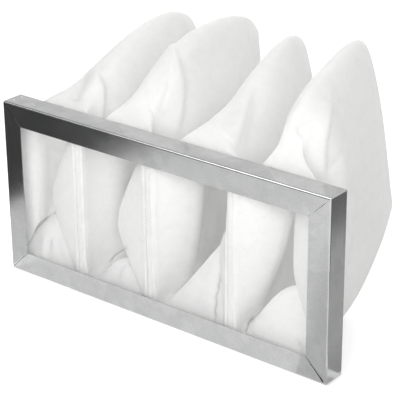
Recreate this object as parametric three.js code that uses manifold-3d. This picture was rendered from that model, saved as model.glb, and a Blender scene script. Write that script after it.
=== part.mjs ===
import * as THREE from 'three';
import { mergeVertices } from 'three/addons/utils/BufferGeometryUtils.js';
import Module from 'manifold-3d';

// Bag air filter in millimetres: a galvanised header that holds the mouths of four sewn pockets.
// X runs along the header, Y from the air intake back to the pockets' rear edges, Z up.
// The origin lies under the middle of the header, on the surface that the filter stands on.

const wasm = await Module();
wasm.setup();

// Header: one strip of sheet, folded to a C section and bent round the corners.
const headerWidth = 380;
const headerHeight = 178;
const headerDepth = 25;
const sheetThickness = 0.8;
const frontFlange = 22;
const rearFlange = 10;
const bendRadius = 1.6;
const cornerRadius = 1.2;
const mitreGap = 0.5;
const openMitreGap = 1.4;

// Closure of the strip: a tab under the top web, held by two pressed joints.
const tabLength = 20;
const tabWidth = 19;
const clinchDiameter = 4.2;
const clinchDepth = 0.6;
const clinchFootDiameter = 3.4;
const clinchSpacing = 11;
const clinchFromEnd = 8;
const closureNotch = 2.2;

// Wire frame that carries the mouths inside the header.
const wireDiameter = 3;
const wireCornerRadius = 5;

// Folded strip of media over each divider rod.
const bindingThickness = 1;
const bindingLegs = 10;
const bindingBehindFlange = 4.6;
const bindingEndGap = 3;

// Pockets.
const pocketCount = 4;
const pocketLength = 195;
const mediaThickness = 2.4;
const bellyGap = 7;
const neckSlack = 0.4;
const gatherDepth = 2.4;
const gatherCount = 9;

// Depths behind the rim: where the side walls' swell into the mouth is full, held and gone, where
// the floor's swell and the gathers are highest and how far they spread, and where the pockets come
// back from the dividers' places to an even spacing.
const noseFull = 16;
const noseHeld = 25;
const noseGone = 54;
const moundTop = 22;
const moundSpread = 18;
const moundRise = 10;
const gatherTop = 46;
const gatherSpread = 34;
const driftFrom = 12;
const driftTo = 42;

// Clearance between touching pieces.
const seatGap = 0.3;

// Mesh fineness.
const headerRings = 4;
const pocketRings = 12;
const pocketSides = 36;
const wireSides = 10;
const arcSteps = 3;

// Lines that every piece shares.
const frontY = -headerDepth / 2;
const rearY = headerDepth / 2;
const ridgeY = frontY + sheetThickness + bindingBehindFlange;
const wireRadius = wireDiameter / 2;
const rodY = ridgeY + bindingThickness + seatGap + wireRadius;
const bindingWidth = wireDiameter + 2 * (seatGap + bindingThickness);
const rimY = ridgeY + bindingWidth / 2;
const wireInset = 2 * sheetThickness + seatGap + wireRadius;
const rimInset = wireInset + wireRadius + seatGap;
const openingWidth = headerWidth - 2 * frontFlange;
const pitch = openingWidth / pocketCount;
const neckInset = rearFlange + seatGap + neckSlack;
const headerShare = 0.08;

// How far each divider has drifted from an even spacing, in pitches from the left.
const dividerDrift = [-0.21, -0.18, -0.05];

// Each pocket as it has settled, from the left. With more pockets the forms come round again.
// crest and keel: [share of the pocket's length, rise over the header's top or over the ground, as
// a share of the header's height].
// lean: sideways shift of the rear edge at its top and at its foot, in pitches.
// left and right: how much of the mouth's width that side wall swells across, how much more at the
// top than at the foot, and a power that is higher the more evenly it swells from top to foot.
// mound: how far the floor of the mouth is pushed up, as a share of the header's height, and from
// where across the mouth, -1 at the left and 1 at the right, it starts and is full.
const pocketForms = [
  {
    crest: [[0.08, 0.056], [0.22, 0.146], [0.46, 0.27], [0.76, 0.331], [0.94, 0.258], [1, 0.101]],
    keel: [[0.12, 0], [0.4, 0], [0.7, 0.022], [0.92, 0.146], [1, 0.292]],
    lean: [0, 0],
    left: { swell: 0.06, skew: 0, power: 3 },
    right: { swell: 0.66, skew: -0.45, power: 3.5 },
    mound: { height: 0.34, from: -1.6, to: -0.2 },
    gatherPhase: 0.6,
  },
  {
    crest: [[0.06, 0.124], [0.18, 0.258], [0.4, 0.382], [0.72, 0.399], [0.93, 0.326], [1, 0.169]],
    keel: [[0.12, 0], [0.4, 0], [0.7, 0.017], [0.92, 0.135], [1, 0.281]],
    lean: [-0.048, 0],
    left: { swell: 0.1, skew: 0, power: 3 },
    right: { swell: 0.63, skew: -0.55, power: 3.5 },
    mound: { height: 0.28, from: -0.8, to: 0.8 },
    gatherPhase: 1.9,
  },
  {
    crest: [[0.06, 0.107], [0.24, 0.152], [0.46, 0.298], [0.7, 0.382], [0.84, 0.326], [0.92, 0.169]],
    keel: [[0.12, 0], [0.4, 0], [0.7, 0.022], [0.94, 0.169], [1, 0.337]],
    lean: [-0.262, -0.048],
    left: { swell: 0.3, skew: 0.8, power: 3 },
    right: { swell: 0.2, skew: -1.1, power: 3 },
    mound: { height: 0.55, from: -1.1, to: 1 },
    gatherPhase: 3.1,
  },
  {
    crest: [[0.05, 0.191], [0.16, 0.315], [0.36, 0.404], [0.62, 0.466], [0.76, 0.416], [0.83, 0.225]],
    keel: [[0.12, 0], [0.4, 0], [0.6, 0.101], [0.87, 0.348], [0.95, 0.506]],
    lean: [-0.31, -0.036],
    left: { swell: 0.37, skew: 1, power: 3 },
    right: { swell: 0.45, skew: 0, power: 8 },
    mound: { height: 0.39, from: -1.1, to: 0.3 },
    gatherPhase: 4.4,
  },
];

const galvanised = new THREE.MeshStandardMaterial({ color: 0xb9bcbd, metalness: 0.9, roughness: 0.38 });
const brightWire = new THREE.MeshStandardMaterial({ color: 0xa9adaf, metalness: 0.9, roughness: 0.45 });
const media = new THREE.MeshStandardMaterial({ color: 0xf4f4f2, metalness: 0, roughness: 0.95 });

// Joins a chain of rings with the same number of points into one skin.
function skin(rings, closeChain) {
  const sides = rings[0].length;
  const spans = closeChain ? rings.length : rings.length - 1;
  const index = [];
  for (let i = 0; i < spans; i++) {
    const next = (i + 1) % rings.length;
    for (let j = 0; j < sides; j++) {
      const a = i * sides + j;
      const b = i * sides + (j + 1) % sides;
      const c = next * sides + (j + 1) % sides;
      const d = next * sides + j;
      index.push(a, b, c, a, c, d);
    }
  }
  const geometry = new THREE.BufferGeometry();
  const positions = rings.flat().flatMap((point) => [point.x, point.y, point.z]);
  geometry.setAttribute('position', new THREE.Float32BufferAttribute(positions, 3));
  geometry.setIndex(index);
  return weld(geometry);
}

// Merges shared points and drops the triangles that this leaves without area.
function weld(geometry) {
  geometry.deleteAttribute('normal');
  geometry.deleteAttribute('uv');
  const merged = mergeVertices(geometry, 1e-3);
  const old = merged.index.array;
  const index = [];
  for (let i = 0; i < old.length; i += 3) {
    const [a, b, c] = [old[i], old[i + 1], old[i + 2]];
    if (a !== b && b !== c && c !== a) index.push(a, b, c);
  }
  merged.setIndex(index);
  return merged;
}

function toSolid(geometry) {
  const closed = weld(geometry);
  return new wasm.Manifold(new wasm.Mesh({
    numProp: 3,
    vertProperties: new Float32Array(closed.attributes.position.array),
    triVerts: new Uint32Array(closed.index.array),
  }));
}

function toGeometry(solid) {
  const mesh = solid.getMesh();
  const geometry = new THREE.BufferGeometry();
  geometry.setAttribute('position', new THREE.BufferAttribute(mesh.vertProperties, 3));
  geometry.setIndex(new THREE.BufferAttribute(mesh.triVerts, 1));
  return geometry;
}

function piece(name, geometry, material) {
  const mesh = new THREE.Mesh(geometry, material);
  mesh.name = name;
  return mesh;
}

function smooth(from, to, value) {
  return THREE.MathUtils.smoothstep(value, from, to);
}

// Points of the C section as [inset from the header's outside, Y], with the bends as arcs.
function headerSection() {
  const inner = bendRadius - sheetThickness;
  const bend = (y, side, radius, reverse) => {
    const arc = [];
    for (let i = 0; i <= arcSteps; i++) {
      const turn = (Math.PI / 2) * (reverse ? 1 - i / arcSteps : i / arcSteps);
      arc.push([bendRadius - radius * Math.sin(turn), y + side * (bendRadius - radius * Math.cos(turn))]);
    }
    return arc;
  };
  return [
    [frontFlange, frontY],
    ...bend(frontY, 1, bendRadius, false),
    ...bend(rearY, -1, bendRadius, true),
    [rearFlange, rearY],
    [rearFlange, rearY - sheetThickness],
    ...bend(rearY, -1, inner, false),
    ...bend(frontY, 1, inner, true),
    [frontFlange, frontY + sheetThickness],
  ];
}

// The four corners of the header, as [X side, Z side], anticlockwise seen from the front.
const corners = [[-1, 0], [1, 0], [1, 1], [-1, 1]];

function cornerPoint([sideX, sideZ], inset, y) {
  const x = sideX * (headerWidth / 2 - inset);
  const z = sideZ ? headerHeight - inset : inset;
  return new THREE.Vector3(x, y, z);
}

function mitredRing() {
  const section = headerSection();
  return skin(corners.map((corner) => section.map(([inset, y]) => cornerPoint(corner, inset, y))), true);
}

// A box laid along a corner's diagonal, from one inset to another.
function mitreCut(corner, from, to, gap) {
  const start = cornerPoint(corner, from, 0);
  const end = cornerPoint(corner, to, 0);
  const box = new THREE.BoxGeometry(start.distanceTo(end), headerDepth * 2, gap);
  const run = end.clone().sub(start);
  box.rotateY(-Math.atan2(run.z, run.x));
  const middle = start.add(end).multiplyScalar(0.5);
  box.translate(middle.x, middle.y, middle.z);
  return toSolid(box);
}

// What a rounded corner lacks of a square one.
function cornerWaste([sideX, sideZ]) {
  const spare = 1;
  const shape = new THREE.Shape();
  shape.moveTo(-spare, -spare);
  shape.lineTo(cornerRadius, -spare);
  shape.lineTo(cornerRadius, 0);
  shape.absarc(cornerRadius, cornerRadius, cornerRadius, -Math.PI / 2, -Math.PI, true);
  shape.lineTo(-spare, cornerRadius);
  shape.closePath();
  const geometry = new THREE.ExtrudeGeometry(shape, {
    depth: headerDepth + 2 * spare,
    bevelEnabled: false,
    curveSegments: arcSteps,
  });
  geometry.translate(0, 0, frontY - spare);
  const across = new THREE.Vector3(-sideX, 0, 0);
  const up = new THREE.Vector3(0, 0, sideZ ? -1 : 1);
  const along = across.clone().cross(up);
  geometry.applyMatrix4(new THREE.Matrix4().makeBasis(across, up, along));
  geometry.translate(sideX * headerWidth / 2, 0, sideZ * headerHeight);
  return toSolid(geometry);
}

function clinchMark(offset) {
  const sides = 16;
  const mark = new THREE.CylinderGeometry(clinchDiameter / 2, clinchFootDiameter / 2, 2 * clinchDepth, sides);
  mark.rotateX(Math.PI / 2);
  mark.translate(clinchFromEnd - headerWidth / 2, offset, headerHeight);
  return toSolid(mark);
}

function makeHeader() {
  const topLeft = corners[3];
  const bottomRight = corners[1];
  let solid = toSolid(mitredRing());

  const overlap = 0.1;
  const tab = new THREE.BoxGeometry(tabLength, tabWidth, sheetThickness + overlap);
  const tabMiddle = (overlap - sheetThickness) / 2;
  const tabX = sheetThickness - overlap + tabLength / 2 - headerWidth / 2;
  tab.translate(tabX, 0, headerHeight - sheetThickness + tabMiddle);
  solid = solid.add(toSolid(tab));

  for (const corner of corners) {
    const gap = corner === bottomRight ? openMitreGap : mitreGap;
    solid = solid.subtract(mitreCut(corner, bendRadius + gap, frontFlange + gap, gap));
    solid = solid.subtract(cornerWaste(corner));
  }
  const notch = new THREE.BoxGeometry(closureNotch, 2 * closureNotch, closureNotch);
  notch.translate(-headerWidth / 2, frontY, headerHeight);
  solid = solid.subtract(toSolid(notch));
  for (const side of [-1, 1]) {
    solid = solid.subtract(clinchMark(side * clinchSpacing / 2));
  }
  return piece('header_frame', toGeometry(solid), galvanised);
}

// A wire bent to a rectangle with round corners, lying in the header.
function makeRetainingWire() {
  const halfWidth = headerWidth / 2 - wireInset - wireCornerRadius;
  const low = wireInset + wireCornerRadius;
  const high = headerHeight - low;
  const centres = [[halfWidth, high], [-halfWidth, high], [-halfWidth, low], [halfWidth, low]];
  const rings = [];
  centres.forEach(([x, z], quarter) => {
    for (let i = 0; i <= arcSteps; i++) {
      const turn = (quarter + i / arcSteps) * Math.PI / 2;
      const out = new THREE.Vector3(Math.cos(turn), 0, Math.sin(turn));
      const middle = new THREE.Vector3(x, rodY, z).addScaledVector(out, wireCornerRadius);
      rings.push(circleAround(middle, out));
    }
  });
  return piece('retaining_wire', skin(rings, true), brightWire);
}

function circleAround(middle, out) {
  const points = [];
  for (let i = 0; i < wireSides; i++) {
    const turn = i / wireSides * 2 * Math.PI;
    const point = middle.clone().addScaledVector(out, wireRadius * Math.cos(turn));
    point.y += wireRadius * Math.sin(turn);
    points.push(point);
  }
  return points;
}

// The plane between two pockets, or between a pocket and the header's end: 0 is the left end.
function boundaryX(i, depth) {
  const drift = (dividerDrift[i - 1] ?? 0) * (1 - smooth(driftFrom, driftTo, depth));
  return (i - pocketCount / 2 + drift) * pitch;
}

function dividerX(i) {
  return boundaryX(i, 0);
}

function makeDividerRod(i) {
  const length = headerHeight - 2 * rimInset;
  const geometry = new THREE.CylinderGeometry(wireRadius, wireRadius, length, wireSides);
  geometry.rotateX(Math.PI / 2);
  const mesh = piece(`divider_rod_${i}`, geometry, brightWire);
  mesh.position.set(dividerX(i), rodY, headerHeight / 2);
  return mesh;
}

// A strip folded round the rod: a U seen from above, open to the rear.
function makeDividerBinding(i) {
  const outer = bindingWidth / 2;
  const inner = outer - bindingThickness;
  const bendY = ridgeY + outer;
  const endY = ridgeY + bindingLegs;
  const shape = new THREE.Shape();
  shape.moveTo(-outer, endY);
  shape.lineTo(-outer, bendY);
  shape.absarc(0, bendY, outer, Math.PI, 2 * Math.PI, false);
  shape.lineTo(outer, endY);
  shape.lineTo(inner, endY);
  shape.lineTo(inner, bendY);
  shape.absarc(0, bendY, inner, 2 * Math.PI, Math.PI, true);
  shape.lineTo(-inner, endY);
  shape.closePath();
  const foot = rimInset + bindingEndGap;
  const geometry = new THREE.ExtrudeGeometry(shape, {
    depth: headerHeight - 2 * foot,
    bevelEnabled: false,
    curveSegments: 2 * arcSteps,
  });
  const mesh = piece(`divider_binding_${i}`, geometry, media);
  mesh.position.set(dividerX(i), 0, foot);
  return mesh;
}

// An edge line of a pocket: straight through the header, then a curve through its settled points.
function edgeLine(rimZ, neckZ, settled) {
  const rim = new THREE.Vector3(0, rimY, rimZ);
  const neck = new THREE.Vector3(0, rearY + seatGap, neckZ);
  const points = settled.map(([y, z]) => new THREE.Vector3(0, y, z));
  const inHeader = new THREE.LineCurve3(rim, neck);
  const behind = new THREE.CatmullRomCurve3([neck, ...points], false, 'centripetal');
  return (share) => {
    if (share <= headerShare) return inHeader.getPointAt(share / headerShare);
    const point = behind.getPointAt((share - headerShare) / (1 - headerShare));
    point.y = Math.max(point.y, neck.y);
    return point;
  };
}

function crestLine(form) {
  const settled = form.crest.map(([share, rise]) => [rearY + share * pocketLength, headerHeight * (1 + rise)]);
  return edgeLine(headerHeight - rimInset, headerHeight - neckInset, settled);
}

function keelLine(form) {
  const settled = form.keel.map(([share, rise]) => [rearY + share * pocketLength, headerHeight * rise]);
  return edgeLine(rimInset, neckInset, settled);
}

// The span of a pocket between its two boundaries, at a depth behind the rim.
function pocketSpan(form, depth) {
  const left = boundaryX(form.number - 1, depth);
  const right = boundaryX(form.number, depth);
  return { middle: (left + right) / 2, half: (right - left) / 2 };
}

// How far a side wall stands from the pocket's middle, before it swells into the mouth.
function sideReach(form, side, share, depth) {
  const { middle, half } = pocketSpan(form, depth);
  const atHeaderEnd = form.number === (side > 0 ? pocketCount : 1);
  const headerEnd = headerWidth / 2 - Math.abs(middle);
  const rim = atHeaderEnd ? headerEnd - rimInset : half - bindingWidth / 2 - seatGap;
  const neck = atHeaderEnd ? headerEnd - neckInset : rim;
  const belly = (pitch - bellyGap) / 2;
  const inHeader = THREE.MathUtils.lerp(rim, neck, Math.min(share / headerShare, 1));
  const bellyFrom = headerDepth;
  const bellyFull = 3 * headerDepth;
  const full = THREE.MathUtils.lerp(inHeader, belly, smooth(bellyFrom, bellyFull, depth));
  const taperFrom = 0.3;
  const taperPower = 1.5;
  const taper = Math.max(share - taperFrom, 0) / (1 - taperFrom);
  return Math.max(full * (1 - taper ** taperPower), mediaThickness + seatGap);
}

// Swell of a side wall into the mouth: steep behind the divider, held, then gone.
function noseSwell(depth) {
  const steepness = 0.7;
  return Math.min(depth / noseFull, 1) ** steepness * (1 - smooth(noseHeld, noseGone, depth));
}

// Swell of the mouth's floor, from nothing at the rim.
function moundSwell(depth) {
  return Math.exp(-(((depth - moundTop) / moundSpread) ** 2)) * smooth(0, moundRise, depth);
}

// Gathers start behind the header and fade along the pocket.
function gatherSwell(depth) {
  const fullFrom = 1.7 * headerDepth;
  return Math.exp(-(((depth - gatherTop) / gatherSpread) ** 2)) * smooth(headerDepth, fullFrom, depth);
}

function signedPower(value, power) {
  return Math.sign(value) * Math.abs(value) ** power;
}

// A point of the pocket's outer face: share runs from rim to rear edge, turn goes round.
// The section is a rounded rectangle in the header and close to an ellipse behind it.
function pocketPoint(form, lines, share, turn) {
  const [mouthSquareness, bellySquareness, ovalFrom] = [8, 2.1, 0.2];
  const oval = smooth(headerShare, ovalFrom, share);
  const squareness = THREE.MathUtils.lerp(mouthSquareness, bellySquareness, oval);
  const across = signedPower(Math.cos(turn), 2 / squareness);
  const up = signedPower(Math.sin(turn), 2 / squareness);
  const height = (1 + up) / 2;
  const point = lines.keel(share).lerp(lines.crest(share), height);
  const depth = point.y - rimY;

  const leftReach = sideReach(form, -1, share, depth);
  const rightReach = sideReach(form, 1, share, depth);
  const [wall, reach] = across < 0 ? [form.left, leftReach] : [form.right, rightReach];
  const bulge = wall.swell * (1 - Math.abs(up) ** wall.power) * (1 + wall.skew * up);
  const open = reach - (leftReach + rightReach) * noseSwell(depth) * bulge;
  const lean = pitch * THREE.MathUtils.lerp(form.lean[1], form.lean[0], height) * share ** 2;
  const gather = gatherDepth * gatherSwell(depth) * Math.cos(gatherCount * turn + form.gatherPhase);
  const closed = share >= 1 ? 0 : 1;
  point.x = pocketSpan(form, depth).middle + lean + across * closed * (open + gather * height);

  const mound = headerHeight * form.mound.height * smooth(form.mound.from, form.mound.to, across);
  point.z += mound * moundSwell(depth) * Math.max(-up, 0);
  point.z += gather * Math.max(up, 0) ** 2;
  point.z = Math.max(point.z, 0);
  return point;
}

// The outer face moved in by the media's thickness, kept on its own side of the middle.
function liningPoint(form, lines, share, turn) {
  const step = 1e-3;
  const from = Math.max(share - step, 0);
  const to = Math.min(share + step, 1 - step);
  const here = pocketPoint(form, lines, share, turn);
  const along = pocketPoint(form, lines, to, turn).sub(pocketPoint(form, lines, from, turn));
  const round = pocketPoint(form, lines, share, turn + step).sub(pocketPoint(form, lines, share, turn - step));
  const inward = round.cross(along).normalize();
  if (share === 0) inward.y = 0;
  const point = here.clone().addScaledVector(inward, mediaThickness);
  const spine = here.x - (here.x - pocketPoint(form, lines, share, Math.PI - turn).x) / 2;
  const side = Math.cos(turn);
  const slit = seatGap * side;
  if (Math.abs(side) < 1e-6) point.x = spine;
  else if ((point.x - spine) * Math.sign(side) < Math.abs(slit)) point.x = spine + slit;
  if (share >= headerShare) point.y = Math.max(point.y, rearY + seatGap);
  return point;
}

function ring(pointAt, form, lines, share, close) {
  const points = [];
  for (let j = 0; j < pocketSides; j++) {
    const turn = j / pocketSides * 2 * Math.PI;
    const point = pointAt(form, lines, share, turn);
    if (close) point.lerp(pointAt(form, lines, share, Math.PI - turn), 0.5);
    points.push(point);
  }
  return points;
}

function makePocket(form) {
  const lines = { crest: crestLine(form), keel: keelLine(form) };
  const shares = [];
  for (let k = 0; k < headerRings; k++) {
    shares.push(headerShare * (k / headerRings) ** 1.5);
  }
  for (let k = 0; k <= pocketRings; k++) {
    shares.push(headerShare + (1 - headerShare) * (k / pocketRings) ** 1.4);
  }
  const liningShare = (share) => share - Math.max(share - headerShare, 0) * 2 * mediaThickness / pocketLength;
  const outer = shares.map((share) => ring(pocketPoint, form, lines, share, share === 1));
  const lining = shares.map((share) => ring(liningPoint, form, lines, liningShare(share), share === 1));
  return piece(`pocket_${form.number}`, skin([...outer.reverse(), ...lining], false), media);
}

const filter = new THREE.Group();
filter.add(makeHeader());
filter.add(makeRetainingWire());
for (let i = 0; i < pocketCount; i++) {
  filter.add(makePocket({ ...pocketForms[i % pocketForms.length], number: i + 1 }));
}
for (let i = 1; i < pocketCount; i++) {
  filter.add(makeDividerRod(i));
  filter.add(makeDividerBinding(i));
}

export default filter;
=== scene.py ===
import bmesh
import bpy
import math
import numpy as np
from mathutils import Matrix, Vector
from mathutils.bvhtree import BVHTree


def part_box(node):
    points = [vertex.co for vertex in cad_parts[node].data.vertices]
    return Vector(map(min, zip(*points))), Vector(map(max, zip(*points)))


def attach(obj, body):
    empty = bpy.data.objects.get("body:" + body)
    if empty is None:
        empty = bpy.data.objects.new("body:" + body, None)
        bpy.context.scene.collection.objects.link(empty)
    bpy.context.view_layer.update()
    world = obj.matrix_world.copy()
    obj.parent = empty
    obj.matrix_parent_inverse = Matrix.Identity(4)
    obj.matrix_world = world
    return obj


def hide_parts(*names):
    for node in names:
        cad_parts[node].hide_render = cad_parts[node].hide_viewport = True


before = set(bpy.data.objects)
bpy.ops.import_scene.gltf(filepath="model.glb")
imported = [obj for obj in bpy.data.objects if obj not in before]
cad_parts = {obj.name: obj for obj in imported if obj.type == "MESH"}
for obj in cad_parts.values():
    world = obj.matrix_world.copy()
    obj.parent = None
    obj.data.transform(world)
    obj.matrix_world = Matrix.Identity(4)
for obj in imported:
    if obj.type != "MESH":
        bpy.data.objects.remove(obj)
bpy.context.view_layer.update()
print("frame loaded")

# Bag air filter: galvanised header, four pockets of white nonwoven, bindings over the divider rods.
# Metres throughout. X along the header, Y from the air intake to the rear, Z up.

scene = bpy.context.scene
scene.view_settings.view_transform = "Standard"
scene.cycles.diffuse_bounces = 10  # the pockets' white insides pass light on many times


# Camera

cameraPlace = {
    "place": Vector((0.8497, -1.0085, 0.7076)),
    "around": math.radians(38.7),
    "above": math.radians(24.0),
    "roll": math.radians(0.49),
    "focalPixels": 1584.0,
    "imagePixels": 400.0,
    "sensor": 36.0,
    "clip": (0.05, 20.0),
}


def cameraAxes(look):
    around, above, roll = look["around"], look["above"], look["roll"]
    back = Vector((math.sin(around) * math.cos(above), -math.cos(around) * math.cos(above),
                   math.sin(above)))
    right = Vector((0, 0, 1)).cross(back).normalized()
    down = right.cross(back)
    turnedRight = math.cos(roll) * right + math.sin(roll) * down
    turnedDown = math.cos(roll) * down - math.sin(roll) * right
    return turnedRight, turnedDown, back


def makeCamera(look):
    right, down, back = cameraAxes(look)
    data = bpy.data.cameras.new("camera")
    data.sensor_width = look["sensor"]
    data.lens = look["focalPixels"] * look["sensor"] / look["imagePixels"]
    data.clip_start, data.clip_end = look["clip"]
    camera = bpy.data.objects.new("camera", data)
    scene.collection.objects.link(camera)
    turn = Matrix((right, -down, back)).transposed()
    camera.matrix_world = Matrix.Translation(look["place"]) @ turn.to_4x4()
    scene.camera = camera


def photoPixels(points, look=cameraPlace):
    # where points of the object fall in the photograph, in its own pixels
    right, down, back = cameraAxes(look)
    away = points - np.array(look["place"])
    depth = -away @ np.array(back)
    middle, focal = look["imagePixels"] / 2, look["focalPixels"]
    across = middle + focal * (away @ np.array(right)) / depth
    below = middle + focal * (away @ np.array(down)) / depth
    return np.stack((across, below), 1)


makeCamera(cameraPlace)
print("camera placed")


# Shader maths

class Value:
    def __init__(self, tree, socket):
        self.tree = tree
        self.socket = socket

    def math(self, operation, other, swapped=False):
        inputs = [other, self] if swapped else [self, other]
        return self.tree.node("ShaderNodeMath", {"operation": operation}, inputs)

    def __add__(self, other):
        return self.math("ADD", other)

    def __radd__(self, other):
        return self.math("ADD", other, True)

    def __sub__(self, other):
        return self.math("SUBTRACT", other)

    def __rsub__(self, other):
        return self.math("SUBTRACT", other, True)

    def __mul__(self, other):
        return self.math("MULTIPLY", other)

    def __rmul__(self, other):
        return self.math("MULTIPLY", other, True)


class Shader:
    def __init__(self, name):
        self.material = bpy.data.materials.new(name)
        self.material.use_nodes = True
        self.nodes = self.material.node_tree.nodes
        self.links = self.material.node_tree.links
        self.nodes.clear()
        self.output = self.nodes.new("ShaderNodeOutputMaterial")

    def fill(self, socket, value):
        if isinstance(value, Value):
            self.links.new(value.socket, socket)
        else:
            socket.default_value = value

    def node(self, kind, settings=None, inputs=(), output=0):
        made = self.nodes.new(kind)
        for name, value in (settings or {}).items():
            setattr(made, name, value)
        named = inputs.items() if isinstance(inputs, dict) else enumerate(inputs)
        for name, value in named:
            self.fill(made.inputs[name], value)
        return Value(self, made.outputs[output])

    def place(self):
        return self.node("ShaderNodeTexCoord", output="Object")

    def noise(self, size, detail=3.0, stretch=(1, 1, 1), roughness=0.5):
        scale = [s / size for s in stretch]
        where = self.node("ShaderNodeMapping", inputs={"Vector": self.place(), "Scale": scale})
        return self.node("ShaderNodeTexNoise", inputs={
            "Vector": where, "Scale": 1.0, "Detail": detail, "Roughness": roughness})

    def ramp(self, value, low, high):
        # from 0 at the low value to 1 at the high one
        return self.node("ShaderNodeMapRange", {"clamp": True}, {
            "Value": value, 1: low, 2: high, 3: 0.0, 4: 1.0})

    def mixColour(self, factor, first, second):
        made = self.nodes.new("ShaderNodeMix")
        made.data_type = "RGBA"
        self.fill(made.inputs[0], factor)
        self.fill(made.inputs[6], first)
        self.fill(made.inputs[7], second)
        return Value(self, made.outputs[2])

    def bump(self, height, distance, strength=1.0, under=None):
        inputs = {"Height": height, "Distance": distance, "Strength": strength}
        if under is not None:
            inputs["Normal"] = under
        return self.node("ShaderNodeBump", inputs=inputs)

    def surface(self, inputs):
        shader = self.node("ShaderNodeBsdfPrincipled", inputs=inputs)
        self.links.new(shader.socket, self.output.inputs["Surface"])
        return self.material


mediaFinish = {
    "pale": (0.988, 0.988, 0.984, 1),
    "shade": (0.85, 0.853, 0.855, 1),
    "through": (0.985, 0.985, 0.98, 1),
    "clouds": 0.6,
    "specks": 0.45,
    # painted shade: the grey that the media's colour is drawn towards where a fold's crease is shaded
    "paintedShadeInCreases": (0.2, 0.2, 0.2, 1),
    "lightThrough": 0.5,
    "lessInClouds": 0.06,
    "cloudSize": 0.011,
    "cloudGrain": 0.62,
    "cloudRange": (0.42, 0.7),
    "fibreSize": 0.0013,
    "fibreStretch": (1, 1, 0.45),
    "fibreGrain": 0.7,
    "fibreDepth": 0.00022,
    "speckRange": (0.45, 0.75),
    "pillowSize": 0.006,
    "pillowDepth": 0.0005,
    "bumps": 0.5,
    "roughness": 0.92,
    "specular": 0.15,
    "sheen": 0.1,
    "sheenRoughness": 0.6,
}


def makeMedia(finish):
    # needled nonwoven: soft clouds where the web is thinner, and a felt of fine fibres
    s = Shader("nonwoven media")
    cloud = s.ramp(s.noise(finish["cloudSize"], 4, roughness=finish["cloudGrain"]), *finish["cloudRange"])
    fibre = s.noise(finish["fibreSize"], 3, finish["fibreStretch"], finish["fibreGrain"])
    speck = s.ramp(fibre, *finish["speckRange"])
    thick = cloud * finish["clouds"] + speck * finish["specks"]
    tone = s.mixColour(thick, finish["pale"], finish["shade"])
    # painted shade in the creases: the folds' crease shading darkens the colour towards a grey and lets
    # less light through
    paintedCreaseShade = s.node("ShaderNodeAttribute", {"attribute_name": "paintedCreaseShade"}, output="Fac")
    tone = s.mixColour(paintedCreaseShade, tone, finish["paintedShadeInCreases"])
    pillow = s.bump(s.noise(finish["pillowSize"], 2), finish["pillowDepth"], finish["bumps"])
    felt = s.bump(fibre, finish["fibreDepth"], finish["bumps"], pillow)
    face = s.node("ShaderNodeBsdfPrincipled", inputs={
        "Base Color": tone, "Roughness": finish["roughness"], "Normal": felt,
        "Specular IOR Level": finish["specular"], "Sheen Weight": finish["sheen"],
        "Sheen Roughness": finish["sheenRoughness"]})
    through = s.node("ShaderNodeBsdfTranslucent", inputs={"Color": finish["through"], "Normal": pillow})
    thin = (finish["lightThrough"] - cloud * finish["lessInClouds"]) * (1.0 - paintedCreaseShade)
    both = s.node("ShaderNodeMixShader", inputs=[thin, face, through])
    s.links.new(both.socket, s.output.inputs["Surface"])
    return s.material


sheetFinish = {
    "zinc": (0.63, 0.632, 0.634, 1),
    "dull": (0.47, 0.473, 0.476, 1),
    "spangleSize": 0.009,
    "spangleBlur": 0.4,
    "spangles": 0.35,
    "grainSize": 0.0009,
    "grainStretch": (0.3, 1, 1),
    "grainDepth": 0.00003,
    "grainBump": 0.35,
    "fleckRange": (0.35, 0.65),
    "flecks": 0.4,
    "patchSize": 0.03,
    "roughness": 0.15,
    "rougherInPatches": 0.06,
    "rougherInSpangles": 0.03,
}


def makeSheet(finish):
    # galvanised strip: faint spangle, rolling grain and small dull spots
    s = Shader("galvanised sheet")
    spangle = s.node("ShaderNodeTexVoronoi", {"feature": "SMOOTH_F1"}, {
        "Vector": s.place(), "Scale": 1 / finish["spangleSize"],
        "Smoothness": finish["spangleBlur"]}, output="Color")
    facet = s.node("ShaderNodeSeparateColor", inputs=[spangle])
    grain = s.noise(finish["grainSize"], 2, finish["grainStretch"], 0.6)
    patch = s.noise(finish["patchSize"], 3)
    fleck = s.ramp(grain, *finish["fleckRange"])
    dulled = facet * finish["spangles"] + fleck * finish["flecks"]
    tone = s.mixColour(dulled, finish["zinc"], finish["dull"])
    rough = finish["roughness"] + patch * finish["rougherInPatches"] + facet * finish["rougherInSpangles"]
    return s.surface({
        "Base Color": tone, "Metallic": 1.0, "Roughness": rough,
        "Normal": s.bump(grain, finish["grainDepth"], finish["grainBump"])})


wireFinish = {
    "zinc": (0.5, 0.505, 0.51, 1),
    "dull": (0.36, 0.365, 0.37, 1),
    "drawSize": 0.0015,
    "drawStretch": (1, 1, 0.1),
    "drawDepth": 0.00004,
    "drawBump": 0.4,
    "roughness": 0.35,
    "rougherInLines": 0.2,
}


def makeWire(finish):
    s = Shader("galvanised wire")
    drawn = s.noise(finish["drawSize"], 3, finish["drawStretch"])
    tone = s.mixColour(drawn, finish["zinc"], finish["dull"])
    return s.surface({
        "Base Color": tone, "Metallic": 1.0,
        "Roughness": finish["roughness"] + drawn * finish["rougherInLines"],
        "Normal": s.bump(drawn, finish["drawDepth"], finish["drawBump"])})


threadFinish = {
    "pale": (0.95, 0.95, 0.945, 1),
    "shade": (0.78, 0.785, 0.79, 1),
    "plySize": 0.0004,
    "plyStretch": (0.5, 1, 1),
    "plyDepth": 0.00005,
    "plyBump": 0.5,
    "roughness": 0.6,
}


def makeThread(finish):
    s = Shader("sewing thread")
    ply = s.noise(finish["plySize"], 2, finish["plyStretch"])
    tone = s.mixColour(ply, finish["pale"], finish["shade"])
    return s.surface({
        "Base Color": tone, "Roughness": finish["roughness"],
        "Normal": s.bump(ply, finish["plyDepth"], finish["plyBump"])})


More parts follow.
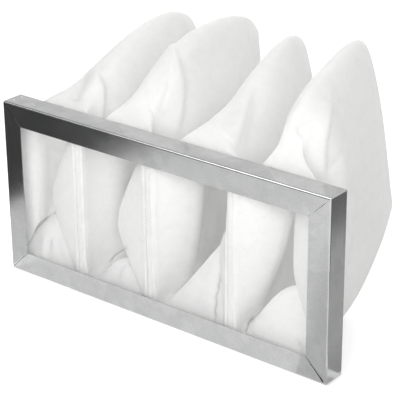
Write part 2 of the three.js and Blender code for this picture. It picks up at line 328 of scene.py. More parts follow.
media = makeMedia(mediaFinish)
sheet = makeSheet(sheetFinish)
wire = makeWire(wireFinish)
thread = makeThread(threadFinish)
print("materials made")


def dress(node, material):
    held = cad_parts[node].data.materials
    held.clear()
    held.append(material)


dress("header_frame", sheet)
dress("retaining_wire", wire)
for number in (1, 2, 3):
    dress(f"divider_rod_{number}", wire)


# Pockets

pocketMake = {
    "count": 4,
    "around": 36,
    "along": 16,
    "rimY": -0.0043,
    "rimSlack": 0.00002,
    "mergeWithin": 0.000002,
    "thickness": 0.0018,
    "coarseLevels": 2,
    "fineLevels": 1,
    "clearance": 0.0008,
    "searched": 0.0032,
    "flatCut": (0.46, 0.235),
}

pocketCloth = {
    "frames": 16,
    "quality": 4,
    "mass": 0.12,
    "stretch": 12,
    "shear": 4,
    "pressure": 1.2,
    "growth": 0.012,
    "bending": 1.5,
    "heldTo": 0.012,
    "freeFrom": 0.045,
    "mouthCap": 0.0015,
    "bellyCap": 0.0028,
}


def clothOf(node, make):
    # the outer face of a pocket's solid, as an open sheet
    bm = bmesh.new()
    bm.from_mesh(node.data)
    bmesh.ops.remove_doubles(bm, verts=bm.verts, dist=make["mergeWithin"])
    onRim = [f for f in bm.faces if all(abs(v.co.y - make["rimY"]) < make["rimSlack"] for v in f.verts)]
    bmesh.ops.delete(bm, geom=onRim, context="FACES_ONLY")
    shells = []
    unseen = set(bm.faces)
    while unseen:
        shell, front = set(), {unseen.pop()}
        while front:
            shell |= front
            front = {g for f in front for e in f.edges for g in e.link_faces} - shell
        unseen -= shell
        shells.append(shell)
    outer = max(shells, key=lambda shell: sum(f.calc_area() for f in shell))
    bmesh.ops.delete(bm, geom=[f for f in bm.faces if f not in outer], context="FACES")
    bmesh.ops.delete(bm, geom=[v for v in bm.verts if not v.link_faces], context="VERTS")
    return bm


def ringsOf(bm):
    # walks the cloth ring by ring from its rim, so that it can be laid out again in quads
    rimEdges = [e for e in bm.edges if e.is_boundary]
    first = max((v for e in rimEdges for v in e.verts), key=lambda v: v.co.z)
    ring, last = [first], None
    while True:
        ahead = [e.other_vert(ring[-1]) for e in ring[-1].link_edges if e.is_boundary]
        step = next((v for v in ahead if v is not last and v not in ring[1:]), None)
        last = ring[-1]
        if step is None or step is first:
            break
        ring.append(step)
    options = []
    for start in (ring, ring[::-1]):
        rings, seen = [start], set(start)
        while len(seen) < len(bm.verts):
            current = rings[-1]
            deeper = []
            for i, vert in enumerate(current):
                mine = {e.other_vert(vert) for e in vert.link_edges} - seen
                next_ = current[(i + 1) % len(current)]
                shared = mine & ({e.other_vert(next_) for e in next_.link_edges} - seen)
                deeper.append(min(shared or mine, key=lambda v: (v.co - vert.co).length))
            rings.append(deeper)
            seen |= set(deeper)
        spread = sum((a.co - b.co).length for r, q in zip(rings, rings[1:]) for a, b in zip(r, q))
        options.append((spread, rings))
    return min(options, key=lambda option: option[0])[1]


def quadCloth(name, rings):
    # the same cloth in quads, with U round the pocket and V from its rim to its rear edge
    bm = bmesh.new()
    made = {}
    for ring in rings:
        for vert in ring:
            if vert not in made:
                made[vert] = bm.verts.new(vert.co)
    uv = bm.loops.layers.uv.new("cloth")
    around, along = len(rings[0]), len(rings) - 1
    for row in range(along):
        for i in range(around):
            j = (i + 1) % around
            spots = [(rings[row][i], i, row), (rings[row][j], i + 1, row),
                     (rings[row + 1][j], i + 1, row + 1), (rings[row + 1][i], i, row + 1)]
            corners = []
            for vert, u, v in spots:
                if made[vert] not in [c for c, _, _ in corners]:
                    corners.append((made[vert], u / around, v / along))
            if len(corners) < 3 or bm.faces.get([c for c, _, _ in corners]):
                continue
            face = bm.faces.new([c for c, _, _ in corners])
            face.smooth = True
            for loop, (_, u, v) in zip(face.loops, corners):
                loop[uv].uv = (u, v)
    bmesh.ops.recalc_face_normals(bm, faces=bm.faces)
    mesh = bpy.data.meshes.new(name)
    bm.to_mesh(mesh)
    bm.free()
    piece = bpy.data.objects.new(name, mesh)
    scene.collection.objects.link(piece)
    return piece


def settle(piece, kind, settings):
    # adds one modifier, and makes its result the mesh
    modifier = piece.modifiers.new(kind.lower(), kind)
    for name, value in settings.items():
        setattr(modifier, name, value)
    graph = bpy.context.evaluated_depsgraph_get()
    mesh = bpy.data.meshes.new_from_object(piece.evaluated_get(graph))
    piece.modifiers.clear()
    old = piece.data
    piece.data = mesh
    bpy.data.meshes.remove(old)


def refine(piece, levels):
    settle(piece, "SUBSURF", {"levels": levels, "render_levels": levels})


def readPoints(mesh):
    points = np.zeros(len(mesh.vertices) * 3)
    mesh.vertices.foreach_get("co", points)
    return points.reshape(-1, 3)


def writePoints(mesh, points):
    mesh.vertices.foreach_set("co", points.ravel())
    mesh.update()


def readNormals(mesh):
    normals = np.zeros(len(mesh.vertices) * 3)
    mesh.vertex_normals.foreach_get("vector", normals)
    return normals.reshape(-1, 3)


def blow(piece, look):
    # a short cloth simulation: the media fills out a little and buckles where it has length to spare
    before = readPoints(piece.data)
    hold = piece.vertex_groups.new(name="held")
    for i, point in enumerate(before):
        share = (look["freeFrom"] - point[1]) / (look["freeFrom"] - look["heldTo"])
        hold.add([i], max(0.0, min(1.0, share)), "REPLACE")
    modifier = piece.modifiers.new("cloth", "CLOTH")
    cloth = modifier.settings
    cloth.quality = look["quality"]
    cloth.mass = look["mass"]
    cloth.tension_stiffness = look["stretch"]
    cloth.compression_stiffness = look["stretch"]
    cloth.shear_stiffness = look["shear"]
    cloth.bending_stiffness = look["bending"]
    cloth.vertex_group_mass = "held"
    cloth.use_pressure = True
    cloth.uniform_pressure_force = look["pressure"]
    cloth.shrink_min = -look["growth"]
    cloth.effector_weights.gravity = 0
    modifier.collision_settings.use_collision = False
    modifier.collision_settings.use_self_collision = False
    modifier.point_cache.frame_start = 1
    modifier.point_cache.frame_end = look["frames"]
    for number in range(1, look["frames"] + 1):
        scene.frame_set(number)
    graph = bpy.context.evaluated_depsgraph_get()
    after = readPoints(piece.evaluated_get(graph).to_mesh())
    piece.modifiers.clear()
    piece.vertex_groups.clear()
    scene.frame_set(1)
    moved = after - before
    length = np.maximum(np.linalg.norm(moved, axis=1), 1e-9)
    deep = np.clip((before[:, 1] - look["heldTo"]) / (look["freeFrom"] - look["heldTo"]), 0, 1)
    cap = look["mouthCap"] + (look["bellyCap"] - look["mouthCap"]) * deep
    moved *= (cap * np.tanh(length / cap) / length)[:, None]
    writePoints(piece.data, before + moved)


# Folds, drawn where the photograph shows them: a path in its pixels, downwards, how far the media
# rises there towards the viewer, and how far the rise spreads to the left and right in pixels.

# a fold's shade paints shade into its crease, darkening the media's colour there
outerFolds = {
    1: [
        {"path": [(92, 70), (84, 77), (77.5, 92), (75, 106), (73, 122)],
         "rise": -0.003, "spread": (5, 4), "shade": 0.14},
        {"path": [(94, 70), (98.5, 77), (101.5, 84), (103.2, 91), (102.8, 104), (101, 116), (99, 132)],
         "rise": 0.0035, "spread": (9, 1.6)},
        {"path": [(99, 70), (108, 88), (107, 106), (105, 116)], "rise": -0.002, "spread": (2, 7)},
    ],
    2: [
        {"path": [(168, 37), (175, 51), (181, 80), (182, 95), (179, 120), (176, 137)],
         "rise": 0.0035, "spread": (11, 2.5)},
        {"path": [(170, 63), (167.6, 88), (160, 111.5)], "rise": -0.0011, "spread": (1.5, 2)},
        {"path": [(150.8, 84), (150.5, 105), (151, 130)], "rise": -0.0014, "spread": (3, 4)},
        {"path": [(186, 60), (190, 85), (188, 110), (184, 128)], "rise": -0.0018, "spread": (3, 8)},
    ],
    3: [
        {"path": [(197.9, 126.4), (191, 131), (186, 141)], "rise": 0.002, "spread": (3, 2)},
        {"path": [(252, 90.4), (243.4, 115.4), (234.5, 149)], "rise": 0.0028, "spread": (10, 3)},
        {"path": [(215.5, 128.6), (218.4, 148)], "rise": -0.0012, "spread": (3, 4)},
        {"path": [(258, 100), (251, 125), (246, 152)], "rise": -0.0016, "spread": (3, 7)},
    ],
    4: [
        {"path": [(331, 98), (328.4, 114), (324, 144.7), (323.3, 181)],
         "rise": 0.004, "spread": (12, 2.5)},
        {"path": [(303.5, 105), (299, 130), (290.3, 168)], "rise": -0.0022, "spread": (5, 5)},
        {"path": [(347, 147), (338, 160), (328.4, 173)], "rise": -0.0012, "spread": (3, 3)},
    ],
}

mouthFolds = {
    1: [
        {"path": [(18, 258), (27.2, 245.1), (38.7, 229.8), (49, 218.2), (60, 207)],
         "rise": -0.0006, "spread": (1.1, 1.1), "shade": 0.6},
        {"path": [(40, 125), (40, 160), (40, 200), (36, 240)], "rise": 0.0025, "spread": (9, 8)},
        {"path": [(51.5, 236), (51.8, 250), (50.5, 262)],
         "rise": -0.002, "spread": (1.5, 1.2), "shade": 0.35},
        {"path": [(57, 238), (61, 252), (66, 264)], "rise": -0.0012, "spread": (3, 1.5)},
        {"path": [(47, 232), (46, 246), (44, 258)], "rise": 0.0012, "spread": (3, 3)},
    ],
    2: [
        {"path": [(130, 246), (123.5, 250.5), (116, 255), (109.7, 262)],
         "rise": -0.0022, "spread": (1.4, 1.4), "shade": 0.6},
        {"path": [(137, 258), (123, 270), (116, 292)], "rise": 0.0014, "spread": (3, 2)},
        {"path": [(128, 263), (122, 272), (119, 286)],
         "rise": -0.0018, "spread": (1.4, 2), "shade": 0.2},
        {"path": [(88, 268), (92, 276), (94, 282)], "rise": -0.001, "spread": (3, 3)},
    ],
    3: [
        {"path": [(201.5, 175), (196.5, 229.5), (192.5, 266)], "rise": 0.002, "spread": (8, 1.8)},
        {"path": [(223, 268), (221, 276), (222.3, 279), (218.3, 284), (219.5, 288), (216.2, 296),
                  (217.3, 303), (215, 309), (216.4, 316), (214.8, 330)],
         "rise": -0.0025, "spread": (1.2, 1.4), "shade": 0.55},
        {"path": [(217, 304), (216.2, 314), (215, 328)],
         "rise": -0.001, "spread": (1.3, 1.3), "shade": 0.4},
        {"path": [(218, 262), (211, 285), (208, 310)], "rise": 0.0014, "spread": (4, 3)},
        {"path": [(223, 275), (219, 281)], "rise": -0.0015, "spread": (2, 1.5), "shade": 0.3},
        {"path": [(205, 268), (200, 290), (192, 308)], "rise": -0.0008, "spread": (4, 3)},
    ],
    4: [
        {"path": [(254, 315), (249, 322), (245.5, 334)],
         "rise": -0.0025, "spread": (1.3, 1.5), "shade": 0.7},
        {"path": [(261, 318), (258.5, 326), (256.5, 337)], "rise": 0.0016, "spread": (2.5, 1.6)},
        {"path": [(298, 338), (302, 348), (305.5, 357)],
         "rise": -0.0016, "spread": (1.5, 1.5), "shade": 0.3},
        {"path": [(285, 300), (290, 318), (296, 336)], "rise": -0.0008, "spread": (4, 5)},
    ],
}

foldReach = {
    "facing": 0.15,
    "behindHeader": (0.013, 0.024),
    "inMouth": (0.050, 0.065),
    "fromRim": (-0.004, 0.002),
    "rearWindow": (0.1796, 0.0104, 0.1676),
    "room": 0.003,
    "ends": (-0.05, 0.2),
}


# Places where a pocket is drawn in or out as a whole: the middle, how far round it, and by how much
pushes = {
    2: [{"at": (-0.066, 0.012, 0.024), "reach": (0.026, 0.022, 0.022), "by": (-0.003, -0.001, 0.008)}],
    3: [{"at": (0.072, 0.010, 0.165), "reach": (0.008, 0.050, 0.045), "by": (0.005, 0.0, 0.0)}],
}


def push(piece, places):
    points = readPoints(piece.data)
    for place in places:
        away = (points - place["at"]) / place["reach"]
        share = np.exp(-(away ** 2).sum(1))
        points += share[:, None] * np.array(place["by"])
    writePoints(piece.data, points)


def alongPath(pixels, path):
    # for each pixel: how far from the path, on which side (left of a downward path is positive),
    # and how far along it
    path = np.array(path, float)
    best = np.full(len(pixels), np.inf)
    side = np.zeros(len(pixels))
    share = np.zeros(len(pixels))
    lengths = np.linalg.norm(np.diff(path, axis=0), axis=1)
    starts = np.concatenate(([0], np.cumsum(lengths)))
    for start, end, length, gone in zip(path, path[1:], lengths, starts):
        run = (end - start) / length
        off = pixels - start
        t = np.clip(off @ run, 0, length)
        gap = np.linalg.norm(off - t[:, None] * run, axis=1)
        closer = gap < best
        best[closer] = gap[closer]
        side[closer] = (run[0] * off[:, 1] - run[1] * off[:, 0])[closer]
        share[closer] = ((gone + t) / starts[-1])[closer]
    return best, side, share


def ease(value, low, high):
    t = np.clip((value - low) / (high - low), 0, 1)
    return t * t * (3 - 2 * t)


def fold(piece, outside, inside, reach):
    points, normals = readPoints(piece.data), readNormals(piece.data)
    pixels = photoPixels(points)
    sight = np.array(cameraPlace["place"]) - points
    sight /= np.linalg.norm(sight, axis=1)[:, None]
    facing = (normals * sight).sum(1)
    depth = points[:, 1]
    seenOutside = ease(facing, 0, reach["facing"]) * ease(depth, *reach["behindHeader"])
    seenInside = ease(-facing, 0, reach["facing"]) * (1 - ease(depth, *reach["inMouth"]))
    seenInside *= ease(depth, *reach["fromRim"])
    move = np.zeros(len(points))
    shade = np.zeros(len(points))
    for folds, seen in ((outside, seenOutside), (inside, -seenInside)):
        for one in folds:
            gap, side, share = alongPath(pixels, one["path"])
            spread = np.where(side > 0, *one["spread"])
            ends = ease(share, *reach["ends"]) * ease(1 - share, *reach["ends"])
            shape = np.exp(-(gap / spread) ** 2) * ends
            move += one["rise"] * shape * seen
            shade += one.get("shade", 0) * shape * np.abs(seen)
    halfWidth, low, high = reach["rearWindow"]
    room = np.minimum(np.minimum(points[:, 2] - low, high - points[:, 2]), halfWidth - np.abs(points[:, 0]))
    inHeader = depth < reach["behindHeader"][1]
    move[inHeader] *= np.clip(room / reach["room"], 0, 1)[inHeader]
    writePoints(piece.data, points + normals * move[:, None])
    # the folds' shade, kept on the points as painted crease shade for the media's colour
    paintedCreaseShade = piece.data.attributes.new("paintedCreaseShade", "FLOAT", "POINT")
    paintedCreaseShade.data.foreach_set("value", np.clip(shade, 0, 1))


def keepClear(piece, neighbour, clearance, searched):
    # moves a pocket's outer face off its neighbour's where they have come too close
    tree = BVHTree.FromPolygons([v.co for v in neighbour.data.vertices],
                                [p.vertices for p in neighbour.data.polygons])
    moved = 0
    for vert in piece.data.vertices:
        near, normal, _, _ = tree.find_nearest(vert.co, searched)
        if near is None:
            continue
        signed = (vert.co - near).dot(normal)
        if signed < clearance:
            vert.co += normal * (clearance - signed)
            moved += 1
    return moved


def makePocket(number):
    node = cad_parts[f"pocket_{number}"]
    bm = clothOf(node, pocketMake)
    piece = quadCloth(f"pocket_cloth_{number}", ringsOf(bm))
    bm.free()
    refine(piece, pocketMake["coarseLevels"])
    blow(piece, pocketCloth)
    refine(piece, pocketMake["fineLevels"])
    push(piece, pushes.get(number, []))
    fold(piece, outerFolds[number], mouthFolds[number], foldReach)
    return piece


def clothGrid(piece):
    # vertex numbers of the cloth by row, from the rim backwards, and by column, round the pocket
    mesh = piece.data
    steps = 2 ** (pocketMake["coarseLevels"] + pocketMake["fineLevels"])
    around, along = pocketMake["around"] * steps, pocketMake["along"] * steps
    uv = np.zeros(len(mesh.loops) * 2)
    mesh.uv_layers["cloth"].data.foreach_get("uv", uv)
    corner = np.zeros(len(mesh.loops), int)
    mesh.loops.foreach_get("vertex_index", corner)
    column, row = np.rint(uv.reshape(-1, 2) * (around, along)).astype(int).T
    grid = np.full((along + 1, around), -1)
    grid[row, column % around] = corner
    return grid


def finishPocket(piece, number):
    settle(piece, "SOLIDIFY", {
        "thickness": pocketMake["thickness"], "offset": -1, "use_even_offset": False})
    for face in piece.data.polygons:
        face.use_smooth = True
    piece.data.materials.clear()
    piece.data.materials.append(media)
    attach(piece, "root")
    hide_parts(f"pocket_{number}")


pockets = [makePocket(number) for number in range(1, pocketMake["count"] + 1)]
for left, right in zip(pockets, pockets[1:]):
    moved = keepClear(left, right, pocketMake["clearance"], pocketMake["searched"])
    print("pocket kept clear of the next one at", moved, "points")


# Bindings: a strip of media over each divider rod, laid from one pocket's lining to the next

bindingMake = {
    "count": 3,
    "rodFront": -0.0074,
    "rodSide": (0.0028, -0.0059),
    "ends": (0.0085, 0.1695),
    "rows": 160,
    "columns": 61,
    "curvePoints": 241,
    "rimWithin": 0.004,
    "liningRows": 40,
    "lapPlaces": (0.0004, 0.0022, 0.005),
    "lapHeights": (0.0009, 0.0005, 0.00005),
    "thickness": 0.0007,
    "edgeThickness": 0.0001,
    "edgePower": 4,
    "seamFrom": 0.0036,
    "seamDepth": 0.00025,
    "seamWidth": 0.0005,
    "flatCut": (0.022, 0.161),
    "puckers": 0.00012,
    "puckerPitch": 0.0042,
    "puckerWidth": 0.00125,
}


def liningBeside(pocket, grid, dividerX, heights, make):
    # points on the pocket's lining at some distances in from its rim, beside a divider
    points, normals = readPoints(pocket.data), readNormals(pocket.data)
    lining = points - normals * pocketMake["thickness"]
    rim = points[grid[0]]
    beside = np.abs(rim[:, 0] - dividerX) < make["rimWithin"]
    columns = np.flatnonzero(beside)
    columns = columns[np.argsort(rim[columns, 2])]
    found = []
    for column in columns:
        inward = grid[:make["liningRows"], column]
        line = lining[inward]
        run = np.concatenate(([0], np.cumsum(np.linalg.norm(np.diff(line, axis=0), axis=1))))
        away = np.cross(np.gradient(line, axis=0), (0, 0, 1))
        away /= np.linalg.norm(away, axis=1)[:, None]
        away *= np.sign((away * -normals[inward]).sum(1))[:, None]
        places = [[np.interp(at, run, line[:, k]) for k in range(3)] for at in make["lapPlaces"]]
        lifts = [[np.interp(at, run, away[:, k]) for k in range(3)] for at in make["lapPlaces"]]
        found.append(np.array(places) + np.array(lifts) * np.array(make["lapHeights"])[:, None])
    found = np.array(found)
    ordered = np.maximum.accumulate(found[:, 0, 2])
    laid = np.zeros((len(heights), len(make["lapPlaces"]), 2))
    for place in range(laid.shape[1]):
        for k in (0, 1):
            laid[:, place, k] = np.interp(heights, ordered, found[:, place, k])
    return laid


def curveThrough(knots, count):
    # Catmull-Rom curve through the knots of every row at once
    before = 2 * knots[:, :1] - knots[:, 1:2]
    beyond = 2 * knots[:, -1:] - knots[:, -2:-1]
    knots = np.concatenate((before, knots, beyond), 1)
    spans = knots.shape[1] - 3
    where = np.linspace(0, spans, count)
    span = np.minimum(where.astype(int), spans - 1)
    t = (where - span)[None, :, None]
    a, b, c, d = (knots[:, span + k] for k in range(4))
    squared, cubed = (2 * a - 5 * b + 4 * c - d) * t ** 2, (3 * b - a - 3 * c + d) * t ** 3
    return 0.5 * (2 * b + (c - a) * t + squared + cubed)


def fromMiddle(curve):
    # distance along each row from its middle point, negative to the left
    step = np.linalg.norm(np.diff(curve, axis=1), axis=2)
    gone = np.concatenate((np.zeros((len(curve), 1)), np.cumsum(step, 1)), 1)
    return gone - gone[:, [curve.shape[1] // 2]]


def spacedEvenly(curve, count):
    gone = fromMiddle(curve)
    laid = np.zeros((len(curve), count, 2))
    half = count // 2
    for i, (row, run) in enumerate(zip(curve, gone)):
        toMiddle = np.linspace(run[0], 0, half, endpoint=False)
        at = np.concatenate((toMiddle, np.linspace(0, run[-1], count - half)))
        laid[i] = np.stack((np.interp(at, run, row[:, 0]), np.interp(at, run, row[:, 1])), 1)
    return laid


def makeBinding(number, left, right, grids, make):
    low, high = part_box(f"divider_binding_{number}")
    middle = (low[0] + high[0]) / 2
    heights = np.linspace(*make["ends"], make["rows"])
    leftLap = liningBeside(left, grids[0], middle, heights, make)
    rightLap = liningBeside(right, grids[1], middle, heights, make)
    side, sideY = make["rodSide"]
    ridge = np.zeros((make["rows"], 3, 2))
    ridge[:] = [(middle - side, sideY), (middle, make["rodFront"]), (middle + side, sideY)]
    knots = np.concatenate((leftLap[:, ::-1], ridge, rightLap), 1)
    columns = make["columns"]
    front = spacedEvenly(curveThrough(knots, make["curvePoints"]), columns)
    across = fromMiddle(front)
    run = np.gradient(front, axis=1)
    outward = np.stack((run[..., 1], -run[..., 0]), -1)
    outward /= np.linalg.norm(outward, axis=2)[..., None]
    offSeam = np.abs(across) - make["seamFrom"]
    rise = -make["seamDepth"] * np.exp(-(offSeam / make["seamWidth"]) ** 2)
    wave = np.cos(2 * math.pi * heights / make["puckerPitch"])[:, None]
    rise += make["puckers"] * wave * np.exp(-(offSeam / make["puckerWidth"]) ** 2)
    front = front + outward * rise[..., None]
    share = np.linspace(-1, 1, columns)
    full = 1 - share ** make["edgePower"]
    thick = make["edgeThickness"] + (make["thickness"] - make["edgeThickness"]) * full
    back = front - outward * thick[None, :, None]
    bm = bmesh.new()
    sides = []
    for face in (front, back):
        sides.append([[bm.verts.new((x, y, z)) for x, y in row] for row, z in zip(face, heights)])
    rows = make["rows"]
    for i in range(rows - 1):
        for j in range(columns - 1):
            for grid, step in ((sides[0], 1), (sides[1], -1)):
                corners = [grid[i][j], grid[i][j + 1], grid[i + 1][j + 1], grid[i + 1][j]]
                bm.faces.new(corners[::step]).smooth = True
    for i in range(rows - 1):
        for j in (0, columns - 1):
            bm.faces.new((sides[0][i][j], sides[0][i + 1][j], sides[1][i + 1][j], sides[1][i][j]))
    for j in range(columns - 1):
        for i in (0, rows - 1):
            bm.faces.new((sides[0][i][j], sides[0][i][j + 1], sides[1][i][j + 1], sides[1][i][j]))
    bmesh.ops.recalc_face_normals(bm, faces=bm.faces)
    mesh = bpy.data.meshes.new(f"binding_cloth_{number}")
    bm.to_mesh(mesh)
    bm.free()
    mesh.materials.append(media)
    piece = bpy.data.objects.new(mesh.name, mesh)
    scene.collection.objects.link(piece)
    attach(piece, "root")
    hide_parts(f"divider_binding_{number}")
    seams = []
    for at in (-make["seamFrom"], make["seamFrom"]):
        column = np.abs(across - at).argmin(1)
        seams.append([(*front[i, j], heights[i]) for i, j in enumerate(column)])
    return seams


seams = []
for number in range(1, bindingMake["count"] + 1):
    left, right = pockets[number - 1], pockets[number]
    seams += makeBinding(number, left, right, (clothGrid(left), clothGrid(right)), bindingMake)
print("bindings made")


# Rear seams: each pocket is closed by a line of stitches through both faces, a little before its edge

rearSeamMake = {
    "rows": 24,
    "fromEdge": 0.0042,
    "depth": 0.0005,
    "width": 0.0011,
    "sideways": 0.4,
    "fewestPoints": 4,
}


def rearSeam(pocket, make):
    points, normals = readPoints(pocket.data), readNormals(pocket.data)
    tail = clothGrid(pocket)[::-1][:make["rows"]]
    step = np.linalg.norm(np.diff(points[tail], axis=0), axis=2)
    gone = np.concatenate((np.zeros((1, tail.shape[1])), np.cumsum(step, 0)))
    flank = ease(np.abs(normals[tail][..., 0]), make["sideways"] / 2, make["sideways"])
    sunk = make["depth"] * np.exp(-((gone - make["fromEdge"]) / make["width"]) ** 2) * flank
    points[tail[1:]] -= (normals[tail] * sunk[..., None])[1:]
    writePoints(pocket.data, points)
    lines, line = [], []
    for column in range(tail.shape[1]):
        row = np.abs(gone[:, column] - make["fromEdge"]).argmin()
        if flank[row, column] < 1:
            lines.append(line)
            line = []
        else:
            line.append(tuple(points[tail[row, column]]))
    return [line for line in lines + [line] if len(line) >= make["fewestPoints"]]


for pocket in pockets:
    seams += rearSeam(pocket, rearSeamMake)
print("rear seams made")

for number, pocket in enumerate(pockets, 1):
    finishPocket(pocket, number)
    print("pocket", number, len(pocket.data.polygons), "faces")


# Stitches, one on each pitch along the seams

stitchMake = {
    "Pitch": 0.0036,
    "Length": 0.0025,
    "Thickness": 0.0005,
    "Tilt": 0.07,
    "Seed": 5,
}
stitchBead = {"Segments": 6, "Rings": 4, "Radius": 0.5}


def stitchTree(look, material):
    tree = bpy.data.node_groups.new("stitches", "GeometryNodeTree")
    face = tree.interface
    face.new_socket("Seams", in_out="INPUT", socket_type="NodeSocketGeometry")
    for name, value in look.items():
        kind = "NodeSocketInt" if isinstance(value, int) else "NodeSocketFloat"
        face.new_socket(name, in_out="INPUT", socket_type=kind)
    face.new_socket("Stitches", in_out="OUTPUT", socket_type="NodeSocketGeometry")

    def node(kind, settings=None, inputs=None):
        made = tree.nodes.new(kind)
        for name, value in (settings or {}).items():
            setattr(made, name, value)
        for name, value in (inputs or {}).items():
            if isinstance(value, bpy.types.NodeSocket):
                tree.links.new(value, made.inputs[name])
            else:
                made.inputs[name].default_value = value
        return made

    given = node("NodeGroupInput").outputs
    line = node("GeometryNodeMeshToCurve", inputs={"Mesh": given["Seams"]})
    spots = node("GeometryNodeCurveToPoints", {"mode": "LENGTH"},
                 {"Curve": line.outputs[0], "Length": given["Pitch"]})
    flipped = node("ShaderNodeMath", {"operation": "MULTIPLY"}, {0: given["Tilt"], 1: -1.0})
    low = node("ShaderNodeCombineXYZ", inputs={axis: flipped.outputs[0] for axis in "XYZ"})
    high = node("ShaderNodeCombineXYZ", inputs={axis: given["Tilt"] for axis in "XYZ"})
    sway = node("FunctionNodeRandomValue", {"data_type": "FLOAT_VECTOR"}, {
        "Min": low.outputs[0], "Max": high.outputs[0], "Seed": given["Seed"]})
    ahead = node("ShaderNodeVectorMath", {"operation": "ADD"}, {
        0: spots.outputs["Tangent"], 1: sway.outputs[0]})
    turn = node("FunctionNodeAlignRotationToVector", {"axis": "X"}, {"Vector": ahead.outputs[0]})
    bead = node("GeometryNodeMeshUVSphere", inputs=stitchBead)
    size = node("ShaderNodeCombineXYZ", inputs={
        "X": given["Length"], "Y": given["Thickness"], "Z": given["Thickness"]})
    laid = node("GeometryNodeInstanceOnPoints", inputs={
        "Points": spots.outputs["Points"], "Instance": bead.outputs["Mesh"],
        "Rotation": turn.outputs[0], "Scale": size.outputs[0]})
    real = node("GeometryNodeRealizeInstances", inputs={"Geometry": laid.outputs[0]})
    smooth = node("GeometryNodeSetShadeSmooth", inputs={"Geometry": real.outputs[0]})
    dressed = node("GeometryNodeSetMaterial", inputs={"Geometry": smooth.outputs[0], "Material": material})
    node("NodeGroupOutput", inputs={"Stitches": dressed.outputs[0]})
    return tree


def makeStitches(name, lines, look, material):
    mesh = bpy.data.meshes.new(name)
    points, edges = [], []
    for line in lines:
        edges += [(len(points) + i, len(points) + i + 1) for i in range(len(line) - 1)]
        points += line
    mesh.from_pydata(points, edges, [])
    piece = bpy.data.objects.new(name, mesh)
    scene.collection.objects.link(piece)
    tree = stitchTree(look, material)
    modifier = piece.modifiers.new("stitches", "NODES")
    modifier.node_group = tree
    for item in tree.interface.items_tree:
        if item.in_out == "INPUT" and item.name in look:
            modifier[item.identifier] = look[item.name]
    graph = bpy.context.evaluated_depsgraph_get()
    made = bpy.data.meshes.new_from_object(piece.evaluated_get(graph))
    piece.modifiers.clear()
    piece.data = made
    bpy.data.meshes.remove(mesh)
    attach(piece, "root")
    return piece


stitches = makeStitches("seam_stitches", seams, stitchMake, thread)
print("stitches made", len(stitches.data.polygons), "faces")


# Floor, backdrop and light

studio = {
    "floorSize": 12.0,
    "floorTone": (0.8, 0.8, 0.8, 1),
    "floorGlow": 0.34,
    "floorMirrored": 0.235,
    "worldLight": 0.25,
    "worldSeen": 1.0,
    "worldMirrored": 0.81,
    "cardHeight": 0.002,
}


def makeFloor(look):
    half = look["floorSize"] / 2
    mesh = bpy.data.meshes.new("floor")
    corners = [(-half, -half, 0), (half, -half, 0), (half, half, 0), (-half, half, 0)]
    mesh.from_pydata(corners, [], [(0, 1, 2, 3)])
    floor = bpy.data.objects.new("floor", mesh)
    scene.collection.objects.link(floor)
    s = Shader("floor")
    seen = s.node("ShaderNodeLightPath", output="Is Camera Ray")
    mirrored = s.node("ShaderNodeLightPath", output="Is Glossy Ray")
    matt = s.node("ShaderNodeBsdfDiffuse", inputs={"Color": look["floorTone"]})
    glow = s.node("ShaderNodeEmission", inputs={
        "Strength": seen * look["floorGlow"] + mirrored * look["floorMirrored"]})
    both = s.node("ShaderNodeAddShader", inputs=[matt, glow])
    s.links.new(both.socket, s.output.inputs["Surface"])
    mesh.materials.append(s.material)


def makeWorld(look):
    world = bpy.data.worlds.new("studio")
    scene.world = world
    world.use_nodes = True
    nodes, links = world.node_tree.nodes, world.node_tree.links
    nodes.clear()
    path = nodes.new("ShaderNodeLightPath")
    output = nodes.new("ShaderNodeOutputWorld")

    def background(strength):
        made = nodes.new("ShaderNodeBackground")
        made.inputs["Color"].default_value = (1, 1, 1, 1)
        made.inputs["Strength"].default_value = strength
        return made.outputs[0]

    def pick(factor, first, second):
        made = nodes.new("ShaderNodeMixShader")
        links.new(factor, made.inputs[0])
        links.new(first, made.inputs[1])
        links.new(second, made.inputs[2])
        return made.outputs[0]

    lit = background(look["worldLight"])
    lit = pick(path.outputs["Is Glossy Ray"], lit, background(look["worldMirrored"]))
    lit = pick(path.outputs["Is Camera Ray"], lit, background(look["worldSeen"]))
    links.new(lit, output.inputs["Surface"])


softboxes = {
    "key": {"place": Vector((-1.2, -1.25, 2.0)), "size": 0.8, "power": 5, "mirrored": True},
    "front": {"place": Vector((0.8, -1.75, 1.15)), "size": 1.6, "power": 22, "mirrored": True},
    "left": {"place": Vector((-0.9, -1.7, 1.5)), "size": 1.6, "power": 17, "mirrored": False},
    "side": {"place": Vector((1.7, -1.1, 1.0)), "size": 1.6, "power": 17, "mirrored": False},
    "rear": {"place": Vector((-0.6, 1.9, 1.2)), "size": 1.6, "power": 50, "mirrored": False},
}
softboxAim = Vector((0, 0.08, 0.1))


def makeSoftbox(name, look):
    data = bpy.data.lights.new(name, "AREA")
    data.shape = "SQUARE"
    data.size = look["size"]
    data.energy = look["power"]
    lamp = bpy.data.objects.new(name, data)
    scene.collection.objects.link(lamp)
    lamp.location = look["place"]
    lamp.rotation_euler = (softboxAim - look["place"]).to_track_quat("-Z", "Y").to_euler()
    lamp.visible_glossy = look["mirrored"]


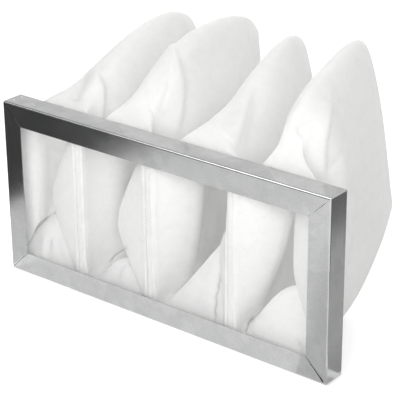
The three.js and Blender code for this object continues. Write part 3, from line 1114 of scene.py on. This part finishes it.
# cards on the floor and flags in the air that only the metal mirrors, by their corners
cards = {
    "dark_card_left": {"tone": 0.05, "corners": [
        (-0.95, -0.8), (-0.262, -0.8), (-0.316, 0.1), (-0.95, 0.1)]},
    "grey_card_left": {"tone": 0.68, "corners": [
        (-0.298, -0.2), (-0.22, -0.2), (-0.19, 0.0), (-0.31, 0.0)]},
    "pale_card_front": {"tone": 0.8, "corners": [
        (-0.262, -0.8), (-0.03, -0.8), (-0.03, -0.2), (-0.298, -0.2)]},
    "grey_card_front": {"tone": 0.76, "corners": [
        (0.0, -0.30), (0.19, -0.26), (0.215, 0.0), (0.165, 0.0)]},
    "grey_card_right": {"tone": 0.46, "corners": [
        (0.192, 0.01), (0.36, 0.01), (0.36, 0.9), (0.192, 0.9)]},
    "dark_card_right": {"tone": 0.14, "corners": [
        (0.36, 0.02), (0.95, 0.02), (0.95, 0.9), (0.36, 0.9)]},
    "flag_below_key": {"tone": 0.03, "corners": [
        (-2.0, -1.6, 0.10), (-0.4, -1.6, 0.10), (-0.4, -1.6, 0.6), (-2.0, -1.6, 0.6)]},
    "flag_behind_key": {"tone": 0.03, "corners": [
        (-2.0, 0.2, 1.62), (-0.6, 0.2, 1.62), (-0.6, 0.9, 1.33), (-2.0, 0.9, 1.33)]},
}


def makeCard(name, look):
    s = Shader(name)
    matt = s.node("ShaderNodeBsdfDiffuse", inputs={"Color": (look["tone"],) * 3 + (1,)})
    s.links.new(matt.socket, s.output.inputs["Surface"])
    mesh = bpy.data.meshes.new(name)
    corners = [c if len(c) == 3 else (*c, studio["cardHeight"]) for c in look["corners"]]
    mesh.from_pydata(corners, [], [(0, 1, 2, 3)])
    mesh.materials.append(s.material)
    card = bpy.data.objects.new(name, mesh)
    scene.collection.objects.link(card)
    card.visible_camera = False
    card.visible_diffuse = False
    card.visible_shadow = False
    card.visible_transmission = False


makeFloor(studio)
makeWorld(studio)
for name, look in softboxes.items():
    makeSoftbox(name, look)
for name, look in cards.items():
    makeCard(name, look)
print("studio lit")
